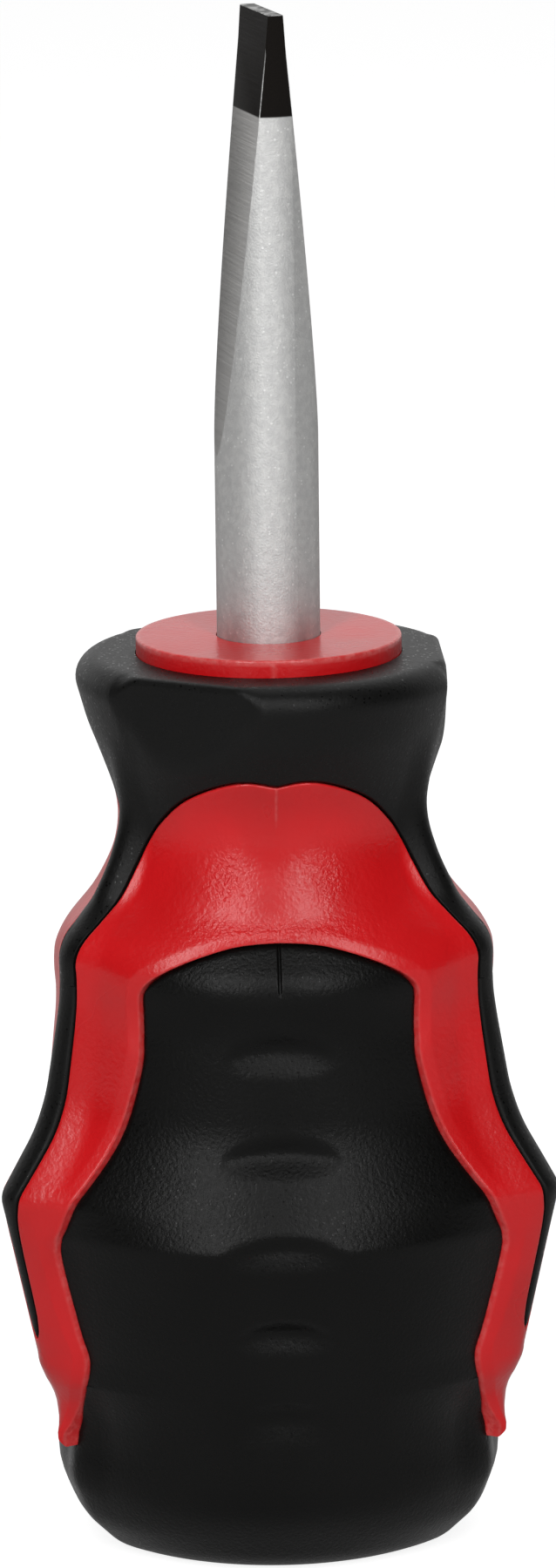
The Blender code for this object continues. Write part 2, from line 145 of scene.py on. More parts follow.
cornerAngle = 60
farAway = 9.0  # stands for a distance at which an edge is no longer felt
handleForm = {
    "top": 55.55, "stem": 8.1, "flange": 12.25, "rimRound": 1.4,
    # outlines through a corner and through the middle of a panel: height, radius, rounding
    "corner": [(0, 11.0, 3.2), (2.6, 13.65, 4), (5.2, 14.6, 3), (7.6, 14.3, 1.5), (9.2, 14.5, 1.2),
               (11.9, 16.0, 1.0), (13.6, 16.1, 1.5), (24, 18.45, 1.2), (28.6, 15.35, 9),
               (36.5, 14.2, 14), (39.1, 14.6, 3), (42.6, 10.5, 5), (46.2, 9.8, 6)],
    "face": [(0, 10.3, 3.2), (4.7, 13.5, 5), (11, 14.15, 30), (21.7, 16.25, 1.0), (27.6, 13.3, 9),
             (34.8, 12.75, 12), (37.3, 13.4, 2.5), (41, 10.55, 4), (44.3, 9.1, 6), (47, 9.0, 6)],
    "neck": (51.6, 11.15, 6),
    # rounding of the corners at each height, and the crest that stands out along them
    "cornerRound": [(5, 2.4), (8, 1.6), (20.5, 1.6), (22.7, 2.2), (26, 2.4), (37, 2.0), (39, 3.05),
                    (44, 4.35)],
    "crest": [(5.5, 0), (7.4, 1.35), (8.2, 1.6), (9.4, 1.05), (10.6, 0.4), (11.8, 0.35), (13, 0.9),
              (24, 0.95), (29, 1.0), (34, 0.72), (36.5, 0.66), (38.5, 0.48), (40, 0.4), (41.2, 0.8),
              (42.3, 1.3), (43.4, 1.27), (45.3, 0.9), (47.4, 0.45), (51.6, 0)],
    "crestAngle": 49, "crestSoft": 1.6, "crestStep": 0.05,
    # arch frame: points of its outer edge, each with the point of the inner edge across from it
    "arch": [((0, 49.26), (0, 39.87)), ((10, 49.55), (7.2, 39.8)), ((20.3, 49.2), (14.4, 39.6)),
             ((33.4, 48.2), (21.8, 39.15)), ((42.9, 47.0), (28.2, 38.6)), ((50, 45.6), (33.2, 38.0)),
             ((53, 43.8), (36.6, 37.4)), ((54.0, 41.8), (38.6, 36.7)),
             ((55.4, 40.0), (39.0, 35.5)), ((56.6, 38.4), (38.9, 33.9)), ((56.5, 36.7), (39.1, 32.0)),
             ((56.2, 29.5), (43.7, 27.1)), ((57.2, 24.4), (49.8, 22.75)), ((58.2, 22.6), (51.8, 21.4)),
             ((58.6, 20.6), (52.4, 19.9)), ((58.7, 17.0), (51.6, 15.6)), ((58.9, 16.0), (50.8, 13.5)),
             ((59.2, 15.35), (52.3, 11.9)), ((59.5, 15.05), (56.2, 10.0)), ((59.75, 14.85), (58.9, 8.5)),
             ((60, 14.7), (60, 7.4))],
    # places along the arch, and the hip on the face's outline, by their number in the list
    "panelCorner": 7, "stripRoot": 10, "hip": 13, "legFoot": 17, "faceHip": 3,
    "seam": 0.05, "runSteps": 40, "arcSteps": 14, "mostReach": 0.495,
}
handleForm["outerEdge"] = [pair[0] for pair in handleForm["arch"]]
handleForm["innerEdge"] = [pair[1] for pair in handleForm["arch"]]


def roundedLine(points):
    # polyline of (height, radius, rounding) with every inner point rounded
    line = []
    for before, here, after in zip(points, points[1:], points[2:]):
        centre = np.array(here[:2], float)
        back, ahead = np.array(before[:2]) - centre, np.array(after[:2]) - centre
        backLength, aheadLength = np.linalg.norm(back), np.linalg.norm(ahead)
        back, ahead = back / backLength, ahead / aheadLength
        half = np.arccos(np.clip(back @ ahead, -1, 1)) / 2
        reach = min(here[2] / np.tan(half), handleForm["mostReach"] * min(backLength, aheadLength))
        radius = reach * np.tan(half)
        middle = centre + (back + ahead) / np.linalg.norm(back + ahead) * radius / np.sin(half)
        start, end = centre + back * reach - middle, centre + ahead * reach - middle
        sweep = pi - 2 * half
        for part in np.linspace(0, 1, handleForm["arcSteps"] + 1):
            line.append(middle + (np.sin((1 - part) * sweep) * start
                                  + np.sin(part * sweep) * end) / np.sin(sweep))
    line = np.array(line)
    return line[:, 0], line[:, 1]


def rimLine():
    # the flange's wall leans out; its rim is an arc between the wall and the top
    form = handleForm
    height, radius = form["neck"][:2]
    lean = np.arctan((form["flange"] - radius) / (form["top"] - height))
    centre = radius + (form["top"] - form["rimRound"] - height) * np.tan(lean)
    centre = centre - form["rimRound"] / np.cos(lean)
    foot = form["top"] - form["rimRound"] * (1 + np.sin(lean))
    return lean, centre, foot


rimLean, rimCentre, rimFoot = rimLine()


def sideLine(points):
    top = handleForm["top"]
    rim = [(top, handleForm["flange"], 0), (top + 1, handleForm["flange"], 0)]
    return roundedLine([(0, 0, 0)] + points + [handleForm["neck"]] + rim)


cornerLine = sideLine(handleForm["corner"])
faceLine = sideLine(handleForm["face"])


def atHeight(height, points):
    return np.interp(height, *np.array(points).T)


def eased(share):
    share = np.clip(share, 0, 1)
    return share * share * (3 - 2 * share)


def softLine(points):
    # the points joined by straight lines, then smoothed over a short reach
    reach, step = handleForm["crestSoft"], handleForm["crestStep"]
    heights = np.arange(0, handleForm["top"], step)
    window = np.hanning(int(reach / step))
    return heights, np.convolve(atHeight(heights, points), window / window.sum(), "same")


crestLine = softLine(handleForm["crest"])


def crestShare(angle):
    return eased((angle - handleForm["crestAngle"]) / (cornerAngle - handleForm["crestAngle"]))


def skin(angle, height):
    # radius of a triangle of three long arcs with rounded corners
    angle, height = np.broadcast_arrays(np.asarray(angle, float), np.asarray(height, float))
    face = np.interp(height, *faceLine)
    corner = np.interp(height, *cornerLine)
    rounding = atHeight(height, handleForm["cornerRound"])
    reach, near = corner - rounding, face - rounding
    back = (reach ** 2 - near ** 2) / (2 * near - reach)
    bow = face + back
    side, front = reach * sin(pi / 3), reach * cos(pi / 3) + back
    length = np.hypot(side, front)
    meet = np.arctan2(bow * side / length, bow * front / length - back)
    turn = np.radians(angle)
    onFace = np.sqrt(np.maximum(bow ** 2 - (back * np.sin(turn)) ** 2, 0)) - back * np.cos(turn)
    rest = pi / 3 - turn
    onCorner = reach * np.cos(rest)
    onCorner = onCorner + np.sqrt(np.maximum(rounding ** 2 - (reach * np.sin(rest)) ** 2, 0))
    crest = np.interp(height, *crestLine) * crestShare(angle)
    return np.where(turn <= meet, onFace, onCorner) + crest


def smoothRun(points):
    # smooth run through the points, with the same number of steps between each two
    fine = handleForm["runSteps"]
    keys = np.array(points, float)
    keys = np.vstack([2 * keys[0] - keys[1], keys, 2 * keys[-1] - keys[-2]])
    run = []
    for index in range(len(points) - 1):
        a, b, c, d = keys[index:index + 4]
        part = (np.arange(fine) / fine)[:, None]
        run.append(0.5 * (2 * b + (c - a) * part + (2 * a - 5 * b + 4 * c - d) * part ** 2
                          + (3 * b - a - 3 * c + d) * part ** 3))
    run.append(keys[-2][None, :])
    return np.vstack(run)


def inMm(run):
    # the run laid out flat: arc length across, height up
    radius = skin(run[:, 0], run[:, 1])
    return np.column_stack([np.radians(run[:, 0]) * radius, run[:, 1]])


def lengthAlong(flat):
    return np.concatenate([[0], np.cumsum(np.linalg.norm(np.diff(flat, axis=0), axis=1))])


def atSpots(run, spots, along):
    return np.column_stack([np.interp(spots, along, run[:, index]) for index in (0, 1)])


def evenly(run, count, start=(), bend=1.0):
    # the run again in even steps, after a few fine ones at its start; a bend above 1 narrows the
    # first of the even ones
    along = lengthAlong(inMm(run))
    first = start[-1] if len(start) else 0.0
    even = np.linspace(0, 1, count + 1) ** bend
    spots = np.concatenate([start[:-1], first + (along[-1] - first) * even])
    return atSpots(run, spots, along)


def moved(run, distance):
    # the run shifted across itself, up for a positive distance at the crown
    flat = inMm(run)
    slope = np.gradient(flat, axis=0)
    slope /= np.linalg.norm(slope, axis=1)[:, None]
    across = np.column_stack([-slope[:, 1], slope[:, 0]]) * distance
    across[0] = across[-1] = (0, distance)
    radius = skin(run[:, 0], run[:, 1])
    angle = run[:, 0] + np.degrees(across[:, 0] / radius)
    angle[0] = run[0, 0]
    return np.column_stack([np.minimum(angle, cornerAngle), run[:, 1] + across[:, 1]])


def curveKeys(name, first, last):
    # part of an edge of the arch between two of its points
    fine = handleForm["runSteps"]
    return smoothRun(handleForm[name])[first * fine:last * fine + 1]


def onHandle(angle, height, radius):
    # front panel faces -Y
    turn = np.radians(angle) - pi / 2
    return np.stack([radius * np.cos(turn), radius * np.sin(turn), height], axis=-1) * mm


def layGrid(name, places, **marks):
    # a grid primitive whose points are laid on the form, with marks for its finish
    rows, columns = places.shape[:2]
    clearSelection()
    bpy.ops.mesh.primitive_grid_add(x_subdivisions=columns - 1, y_subdivisions=rows - 1, size=1)
    sheet = added(name)
    spots = pointsOf(sheet)
    column = np.rint((spots[:, 0] + 0.5) * (columns - 1)).astype(int)
    row = np.rint((0.5 - spots[:, 1]) * (rows - 1)).astype(int)
    sheet.data.vertices.foreach_set("co", places[row, column].ravel())
    for label, values in marks.items():
        mark = sheet.data.attributes.new(label, "FLOAT", "POINT")
        mark.data.foreach_set("value", values[row, column].astype(np.float32))
    while sheet.data.uv_layers:
        sheet.data.uv_layers.remove(sheet.data.uv_layers[0])
    sheet.data.update()
    return sheet


def threeSides(sheets, name):
    # one half side becomes the whole way round
    piece = joined(sheets, name) if len(sheets) > 1 else sheets[0]
    applied(piece, "MIRROR", use_axis=(True, False, False), use_mirror_merge=True,
            merge_threshold=mergeSettings["sides"] * mm)
    sides = [piece]
    for turn in (1, 2):
        pick(piece)
        bpy.ops.object.duplicate()
        side = bpy.context.object
        side.rotation_euler[2] = radians(2 * cornerAngle * turn)
        bpy.ops.object.transform_apply(location=False, rotation=True, scale=False)
        sides.append(side)
    piece = joined(sides, name)
    cleaned(piece, mergeSettings["sides"])
    return piece


def thickened(piece, wall, lowest=None, highest=None, least=0.0):
    # a sheet gets its wall: the extruded copy is drawn in towards the axis
    editPiece(piece)
    bpy.ops.mesh.extrude_region_move()
    leaveEdit()
    for vert in piece.data.vertices:
        if vert.select:
            radius = vert.co.xy.length / mm
            inner = max(radius - wall, min(least, radius))
            vert.co.x *= inner / radius
            vert.co.y *= inner / radius
            if lowest is not None:
                vert.co.z = max(vert.co.z, lowest * mm)
            if highest is not None:
                vert.co.z = min(vert.co.z, highest * mm)
    cleaned(piece, mergeSettings["walls"])


def fillet(distance, radius):
    # how far a rounded edge lies below its face
    inside = np.clip(radius - distance, 0, radius)
    return radius - np.sqrt(np.maximum(radius ** 2 - inside ** 2, 0))


def softMin(a, b, width):
    blend = np.clip(0.5 + (b - a) / (2 * width), 0, 1)
    return b + (a - b) * blend - width * blend * (1 - blend)


# blade

bladeSettings = {
    "barRadius": 3.15,
    "barSides": 128,
    "tip": 94.65,
    "tangEnd": 22.6,
    "tipThickness": 0.83,
    "wedgeAngle": 11.6,
    "azimuth": 103.5,
    "edgeRound": 0.07,
    "edgeSteps": 2,
    "wings": (34.6, 41.6),
    "wingOut": 1.5,
    "wingHalfAngle": 15,
    "groundLength": 27.5,
    "finishLength": 6.1,
    "near": 0.02,  # how closely a point or a normal has to agree
    "endNear": 0.001,
    "acrossFlat": 0.97,
}


def makeBlade():
    make = bladeSettings
    blade = cylinder("blade", make["barSides"], make["barRadius"], make["tangEnd"], make["tip"])
    lean = radians(make["wedgeAngle"] / 2)
    for hand in (1, -1):
        cut(blade, (0, hand * make["tipThickness"] / 2, make["tip"]), (0, hand * cos(lean), sin(lean)),
            use_fill=True, clear_outer=True)
    low, high = make["wings"]
    for level in (low, high):
        cut(blade, (0, 0, level), (0, 0, 1))
    sideways = cos(radians(make["wingHalfAngle"]))
    for hand in (1, -1):  # wings pressed out of the tang
        selectFaces(blade, lambda middle, normal: low < middle.z < high and hand * normal.x > sideways)
        out = (hand * make["wingOut"] * mm, 0, 0)
        bpy.ops.mesh.extrude_region_move(TRANSFORM_OT_translate={"value": out})
        leaveEdit()

    def onCrease(a, b):  # edges where a ground flat meets the bar, and the rim of the end face
        if min(a.z, b.z) < make["tip"] - make["groundLength"]:
            return False
        radial = [abs(point.xy.length - make["barRadius"]) < make["near"] for point in (a, b)]
        half = [make["tipThickness"] / 2 + (make["tip"] - point.z) * np.tan(lean) for point in (a, b)]
        flat = [abs(abs(point.y) - across) < make["near"] for point, across in zip((a, b), half)]
        end = [abs(point.z - make["tip"]) < make["endNear"] for point in (a, b)]
        return all(end) or (all(flat) and all(radial))

    cleaned(blade, mergeSettings["walls"])
    selectEdges(blade, onCrease)
    bpy.ops.mesh.bevel(offset=make["edgeRound"] * mm, segments=make["edgeSteps"], affect="EDGES",
                       clamp_overlap=True)
    leaveEdit()
    rubbed = blade.data.attributes.new("edge", "FLOAT", "FACE")
    ground = blade.data.attributes.new("ground", "FLOAT", "FACE")
    for index, face in enumerate(blade.data.polygons):
        rubbed.data[index].value = 1.0 if face.select else 0.0
        leaning = abs(face.normal.z - sin(lean)) < make["near"]
        flat = leaning and abs(face.normal.y) > make["acrossFlat"]
        ground.data[index].value = 1.0 if flat else 0.0
    blade.rotation_euler[2] = radians(make["azimuth"])
    pick(blade)
    bpy.ops.object.transform_apply(location=False, rotation=True, scale=False)
    return blade


blade = makeBlade()
print("blade:", len(blade.data.polygons), "faces")


# hard core: three arch frames, collar and the body under the soft parts

frameSettings = {
    "steps": 170,
    "outerRound": 0.2,
    "lipRound": 0.14,
    "bevelWidth": [(7.0, 0.5), (9, 0.65), (15, 0.75), (22, 0.7), (27, 0.8), (35.5, 1.1), (37.5, 0.9),
                   (39.8, 0.6)],
    "bevelDrop": [(20, 0.36), (23, 0.12), (30, 0.12), (34, 0.24)],
    "dropShare": 0.85,  # of the panel's recess
    "foldSoft": 0.13,
    "recess": 0.5,
    "recessFrom": 3.0,
    "recessFull": 10.4,
    "ridgeWidth": 0.07,
    "ridgeHeight": 0.05,
    # where the parting line shows: from a height over a fade, at the top and down to the lip
    "ridgeTop": (46.6, 0.8), "ridgeLip": (40.9, 0.4), "ridgeLipShare": 0.8, "ridgeLowest": 39,
    # painted highlight: light bands along the lip and the outer edge stand for their bright edge lines and
    # also for rubbed wear; the parting line is rubbed lighter
    "lipBand": 0.15, "outerBand": 0.14, "outerBandShare": 0.25, "ridgeRubShare": 0.7,
    "lipHighlightAndWear": (0.6, 0.4), "lipCrownWidth": 4.5, "lipCrownFrom": 38,
    # flow marks: distance from the middle and its reach, height and its reach
    "flowSpot": (2.9, 1.3, 43.6, 1.6), "flowLip": (0, 5.5, 40.5, 0.7), "flowLipShare": 0.8,
    "wall": 2.0,
    # spacing of the mesh, in mm from an edge or as shares of the fold
    "outerSteps": [0, 0.02, 0.05, 0.09, 0.13, 0.17, 0.26],
    "lipSteps": [0, 0.02, 0.05, 0.09, 0.14, 0.24],
    "foldSteps": [0.38, 0.62, 0.82, 0.92, 1.0, 1.08, 1.18, 1.35],
    "faceSteps": 14, "samples": 6000,
    "partingSteps": [0, 0.04, 0.08, 0.14], "firstStep": 0.24,
}


def sink(height):
    make = frameSettings
    rise = (height - make["recessFrom"]) / (make["recessFull"] - make["recessFrom"])
    return make["recess"] * np.clip(rise, 0, 1)


def spotMark(across, height, place):
    middle, wide, level, high = place
    return np.exp(-((across - middle) / wide) ** 2 - ((height - level) / high) ** 2)


def makeFrames():
    make = frameSettings
    outer = smoothRun(handleForm["outerEdge"])
    inner = smoothRun(handleForm["innerEdge"])
    # ribs join the points of both edges that belong together
    pairs = np.linspace(0, 1, make["samples"])
    whole = np.linspace(0, 1, len(outer))
    outerRun, innerRun = atSpots(outer, pairs, whole), atSpots(inner, pairs, whole)
    # even steps along the middle of the frame, fine ones at the parting line
    along = lengthAlong(inMm((outerRun + innerRun) / 2))
    even = np.linspace(make["firstStep"], along[-1], make["steps"])
    spots = np.concatenate([make["partingSteps"], even])
    outerRun = moved(atSpots(outerRun, spots, along), -handleForm["seam"])
    innerRun = moved(atSpots(innerRun, spots, along), handleForm["seam"])
    radius = skin(*((outerRun + innerRun) / 2).T)
    span = innerRun - outerRun
    width = np.hypot(np.radians(span[:, 0]) * radius, span[:, 1])
    bevel = atHeight(innerRun[:, 1], make["bevelWidth"])
    near, lipSteps = np.array(make["outerSteps"]), np.array(make["lipSteps"])
    rows = []
    for fold, wide in zip(bevel, width):
        slope = np.array(make["foldSteps"]) * fold
        free = np.linspace(near[-1], wide - slope[-1], make["faceSteps"])[1:-1]
        rows.append(np.concatenate([near, free, wide - slope[::-1], wide - lipSteps[::-1]]))
    fromOuter = np.array(rows)
    share = (fromOuter / width[:, None])[:, :, None]
    place = outerRun[:, None, :] + span[:, None, :] * share
    angle, height = place[..., 0], place[..., 1]
    fromInner = width[:, None] - fromOuter
    # fold: the face leans in towards the panel, then turns over the lip
    over = bevel[:, None] - fromInner
    soft = make["foldSoft"]
    lean = np.where(over > soft, over, np.where(over < -soft, 0, (over + soft) ** 2 / (4 * soft)))
    edgeSink = sink(innerRun[:, 1])[:, None]
    deepest = atHeight(innerRun[:, 1], make["bevelDrop"])[:, None]
    drop = np.minimum(deepest, make["dropShare"] * edgeSink) * lean / bevel[:, None]
    lip = fillet(fromInner, make["lipRound"])
    # raised parting line, at the top of the crown and at the lip
    across = np.radians(angle) * skin(angle, height)
    (topFrom, topFade), (lipFrom, lipFade) = make["ridgeTop"], make["ridgeLip"]
    shown = np.clip((height - topFrom) / topFade, 0, 1)
    shown = shown + make["ridgeLipShare"] * np.clip((lipFrom - height) / lipFade, 0, 1)
    shown = shown * (height > make["ridgeLowest"])
    ridge = make["ridgeHeight"] * np.exp(-(across / make["ridgeWidth"]) ** 2) * shown
    depth = drop + lip + fillet(fromOuter, make["outerRound"]) - ridge
    # painted highlight along the lip, strongest at the crown, and a fainter one along the outer edge, both
    # also standing for rubbed wear; the raised parting line is rubbed lighter; flow marks lie on the brow
    least, more = make["lipHighlightAndWear"]
    crown = np.exp(-(across / make["lipCrownWidth"]) ** 2) * (height > make["lipCrownFrom"])
    wearAndHighlight = np.clip(1 - fromInner / make["lipBand"], 0, 1) * (least + more * crown)
    wearAndHighlight = wearAndHighlight + make["outerBandShare"] * np.clip(1 - fromOuter / make["outerBand"], 0, 1)
    wearAndHighlight = np.maximum(wearAndHighlight, make["ridgeRubShare"] * np.clip(ridge / make["ridgeHeight"], 0, 1))
    flow = spotMark(across, height, make["flowSpot"])
    flow = np.maximum(flow, make["flowLipShare"] * spotMark(across, height, make["flowLip"]))
    surface = onHandle(angle, height, skin(angle, height) - depth)
    frames = threeSides([layGrid("frames", surface, edge=wearAndHighlight, flow=flow)], "frames")
    thickened(frames, make["wall"])
    return frames


collarSettings = {
    "radius": 8.1,
    "top": 56.6,
    "seat": 50.0,
    "edge": 0.13,
    "edgeSteps": 3,
    "hole": 3.2,
    "holeDepth": 2.0,
    "sides": 192,
    "inset": 0.35,
    "band": 0.4,
    "rimFrom": 8.0,
    "rubbed": 0.16,
    "near": 0.01,
    "upward": 0.9,
    # parting line on the rim
    "ridge": 0.05, "ridgeHalf": 0.1, "ridgeFrom": 7.9,
}


def makeCollar():
    make = collarSettings
    collar = cylinder("collar", make["sides"], make["radius"], make["seat"], make["top"])
    selectFaces(collar, lambda middle, normal: normal.z > make["upward"])
    bpy.ops.mesh.inset(thickness=make["inset"] * mm, depth=0)
    bpy.ops.mesh.inset(thickness=(make["radius"] - make["inset"] - make["hole"]) * mm, depth=0)
    down = (0, 0, -make["holeDepth"] * mm)
    bpy.ops.mesh.extrude_region_move(TRANSFORM_OT_translate={"value": down})
    leaveEdit()
    cut(collar, (0, 0, make["top"] - make["band"]), (0, 0, 1))

    def onRim(a, b):
        outside = min(a.xy.length, b.xy.length) > make["rimFrom"]
        return outside and min(a.z, b.z) > make["top"] - make["near"]

    selectEdges(collar, onRim)
    bpy.ops.mesh.bevel(offset=make["edge"] * mm, segments=make["edgeSteps"], affect="EDGES")
    leaveEdit()
    mark = collar.data.attributes.new("edge", "FLOAT", "POINT")
    for index, vert in enumerate(collar.data.vertices):
        spot = vert.co / mm
        rim = spot.xy.length > make["radius"] - make["rubbed"] and spot.z > make["top"] - make["rubbed"]
        mark.data[index].value = 1.0 if rim else 0.0
        if spot.y < 0 and abs(spot.x) < make["ridgeHalf"] and spot.xy.length > make["ridgeFrom"]:
            vert.co.y -= make["ridge"] * mm
            mark.data[index].value = 1.0
    return collar


bodySettings = {
    "under": 2.25, "floor": 3.2, "shoulder": 47, "levels": 46, "angles": 25,
    "stemFrom": 44, "stemLevels": [50.0, 54.0], "stemGap": 0.05, "near": 1e-3,
}


def makeBody():
    # what the soft parts are moulded on
    make = bodySettings
    levels = np.linspace(make["floor"], make["shoulder"], make["levels"])
    levels = np.concatenate([levels, make["stemLevels"]])
    angles = np.linspace(0, cornerAngle, make["angles"])
    angle, height = np.meshgrid(angles, levels[::-1])
    radius = skin(angle, height) - make["under"]
    stem = handleForm["stem"] - make["stemGap"]
    radius = np.where(height > make["stemFrom"], np.minimum(radius, stem), radius)
    body = threeSides([layGrid("coreBody", onHandle(angle, height, radius))], "coreBody")
    for level in (levels[0], levels[-1]):
        selectEdges(body, lambda a, b: max(abs(a.z - level), abs(b.z - level)) < make["near"])
        bpy.ops.mesh.edge_face_add()
        leaveEdit()
    cleaned(body)
    return body


core = joined([makeFrames(), makeCollar(), makeBody()], "handleCore")
print("core:", len(core.data.polygons), "faces")


# soft neck sleeve

sleeveSettings = {
    "flatDistance": 10.6,
    "flatAzimuths": (0, 120, 240),
    "flatSoft": 0.2,
    "flatRound": 0.45,
    "flatBlend": 0.7,
    "wallFrom": 44,
    "wallRise": 50,
    "near": 1e-3,
    "cornerNear": 0.01,
    "edgeRound": 0.12,
    "wall": 1.7,
    "stemGap": 0.05,
    "underTop": 1.3,
    # spacing of the mesh, in mm from an edge
    "columns": 96, "rows": 46, "rowBend": 0.9, "rimSteps": 12, "topSteps": 8, "cornerSteps": 4,
    "edgeSteps": [0, 0.02, 0.045, 0.08, 0.12, 0.2],
    "stripRows": 80, "stripSteps": [0, 0.03, 0.07, 0.12, 0.3], "stripShare": 0.9,
}


def flatten(sleeve):
    # three flats on the flange, with a crisper rim than the round between them
    make, top, stem = sleeveSettings, handleForm["top"], handleForm["stem"]
    full, crisp = handleForm["rimRound"], make["flatRound"]
    widest = rimCentre + full
    spots = pointsOf(sleeve) / mm
    height = spots[:, 2].copy()
    radius = np.hypot(spots[:, 0], spots[:, 1])
    azimuth = np.degrees(np.arctan2(spots[:, 1], spots[:, 0]))
    off = np.min([np.abs((azimuth - flat + 180) % 360 - 180) for flat in make["flatAzimuths"]], axis=0)
    limit = make["flatDistance"] / np.cos(np.radians(off))
    rim = softMin(np.full_like(limit, widest), limit, make["flatSoft"])
    flat = eased((widest - rim) / make["flatBlend"])
    rounding = full - (full - crisp) * flat
    lean = rimLean * (1 - flat)
    foot = top - rounding * (1 + np.sin(lean))
    onTop = height > top - make["near"]
    onRim = ~onTop & (height > rimFoot + make["near"])
    onWall = ~onTop & ~onRim & (height > make["wallFrom"])
    share = (radius - stem) / (rimCentre - stem)
    newRadius = np.where(onTop, stem + share * (rim - rounding - stem), radius)
    part = (np.arcsin(np.clip((height - top + full) / full, -1, 1)) + rimLean) / (pi / 2 + rimLean)
    turn = part * (pi / 2 + lean) - lean
    newRadius = np.where(onRim, rim - rounding * (1 - np.cos(turn)), newRadius)
    newRadius = np.where(onWall, softMin(radius, limit, make["flatSoft"]), newRadius)
    newHeight = np.where(onRim, top - rounding * (1 - np.sin(turn)), height)
    rise = np.clip((height - make["wallRise"]) / (rimFoot - make["wallRise"]), 0, 1)
    newHeight = np.where(onWall, height + (foot - rimFoot) * rise, newHeight)
    spots[:, 0] = newRadius * np.cos(np.radians(azimuth))
    spots[:, 1] = newRadius * np.sin(np.radians(azimuth))
    spots[:, 2] = newHeight
    sleeve.data.vertices.foreach_set("co", (spots * mm).ravel())
    sleeve.data.update()


def makeSleeve():
    make = sleeveSettings
    top, stem = handleForm["top"], handleForm["stem"] + make["stemGap"]
    root, tip = handleForm["stripRoot"], len(handleForm["outerEdge"]) - 1
    crown = evenly(curveKeys("outerEdge", 0, root), make["columns"])
    strip = evenly(curveKeys("outerEdge", root, tip), make["stripRows"])
    edge = moved(np.vstack([crown, strip[1:]]), handleForm["seam"])
    crown, strip = edge[:len(crown)], edge[len(crown) - 1:]
    last = crown[-1]
    corner = np.linspace(last[0], cornerAngle, make["cornerSteps"])[1:]
    corner = np.column_stack([corner, np.full(len(corner), last[1])])
    bottom = np.vstack([crown, corner])
    # neck: wall rows from the arch up to the flange
    near = np.array(make["edgeSteps"])
    part = np.linspace(0, 1, make["rows"])[:, None] ** make["rowBend"]
    low = bottom[:, 1] + near[:, None]
    height = np.vstack([low[:-1], low[-1] + part * (rimFoot - low[-1])])
    angle = np.broadcast_to(bottom[:, 0], height.shape)
    fromEdge = np.full(height.shape, farAway)
    fromEdge[:len(near) - 1] = near[:-1, None]
    fromEdge = np.where(angle > last[0] + make["cornerNear"], farAway, fromEdge)
    radius = skin(angle, height) - fillet(fromEdge, make["edgeRound"])
    # rim: an arc, then the top face in to the stem
    turn = np.linspace(-rimLean, pi / 2, make["rimSteps"])[1:, None]
    face = np.linspace(rimCentre, stem, make["topSteps"])[1:, None]
    across = np.zeros(len(bottom))
    rimHeight = top - handleForm["rimRound"] * (1 - np.sin(turn)) + across
    rimRadius = rimCentre + handleForm["rimRound"] * np.cos(turn) + across
    height = np.vstack([height, rimHeight, np.full((len(face), len(bottom)), top)])
    radius = np.vstack([radius, rimRadius, face + across])
    angle = np.broadcast_to(bottom[:, 0], height.shape)
    neck = layGrid("neck", onHandle(angle, height, radius)[::-1])
    # strip down the corner
    across = np.array(make["stripSteps"])
    rows = []
    for angleEdge, heightEdge in strip:
        room = np.radians(cornerAngle - angleEdge) * skin(cornerAngle, heightEdge)
        gap = np.minimum(across, room * np.linspace(0, make["stripShare"], len(across)))
        rows.append(np.concatenate([gap, [room]]))
    fromEdge = np.array(rows)
    heightGrid = np.broadcast_to(strip[:, 1:2], fromEdge.shape)
    angleGrid = strip[:, :1] + np.degrees(fromEdge / skin(cornerAngle, strip[:, 1])[:, None])
    angleGrid = np.minimum(angleGrid, cornerAngle)
    radiusGrid = skin(angleGrid, heightGrid) - fillet(fromEdge, make["edgeRound"])
    stripSheet = layGrid("strip", onHandle(angleGrid, heightGrid, radiusGrid))
    sleeve = threeSides([neck, stripSheet], "neckSleeve")
    flatten(sleeve)
    thickened(sleeve, make["wall"], highest=top - make["underTop"], least=stem)
    return sleeve


sleeve = makeSleeve()
print("sleeve:", len(sleeve.data.polygons), "faces")


# soft base grip with its finger dimples

gripSettings = {
    "wall": 1.8,
    "floor": 2.9,
    "edgeRound": 0.1,
    # dimples: height, half width, half height, depth
    "dimples": [(33.1, 3.4, 1.6, 0.55), (26.9, 3.7, 1.5, 0.55), (21.5, 4.0, 1.35, 0.55),
                (16.1, 3.3, 1.5, 0.68), (10.5, 3.1, 1.5, 0.62)],
    # how far a dimple's middle bows up, how its outline and its bowl are rounded, and how far its
    # lower and upper slopes reach
    "dimpleBow": 0.35, "dimpleLevel": 0.6, "dimpleOutline": 0.4, "dimpleLeast": 0.3, "dimpleBowl": 0.9,
    "dimpleRise": 1.3, "dimpleFall": 0.95,
    "slitWidth": 0.08,
    "slitDepth": 0.14,
    "slitFrom": 37.2,
    "swell": 0.55, "swellFrom": 2.5, "swellFull": 7.4, "swellReach": 1.2, "swellColumns": 6,
    # spacing of the mesh, in mm from the parting line or as shares of the height of the base
    "columns": 36, "rows": 150, "baseRows": 24, "heelSteps": 20, "columnBend": 1.3, "baseBend": 1.7,
    "slitSteps": [0, 0.04, 0.08, 0.15], "rimSteps": [1.0, 0.997, 0.992, 0.985], "block": 2000,
    "near": 1e-3,
}


def scoop(across, height):
    # lens-shaped scoops, steep under their upper lip and running out below
    make = gripSettings
    depth = np.zeros_like(height)
    for level, halfWidth, halfHeight, deep in make["dimples"]:
        lens = np.clip(1 - (across / halfWidth) ** 2, 0, 1)
        up = height - level - make["dimpleBow"] * (lens - make["dimpleLevel"])
        up = up / np.maximum(halfHeight * lens ** make["dimpleOutline"], make["dimpleLeast"])
        rise, fall = eased((up + 1) / make["dimpleRise"]), eased((1 - up) / make["dimpleFall"])
        depth = np.maximum(depth, deep * lens ** make["dimpleBowl"] * rise * fall)
    return depth


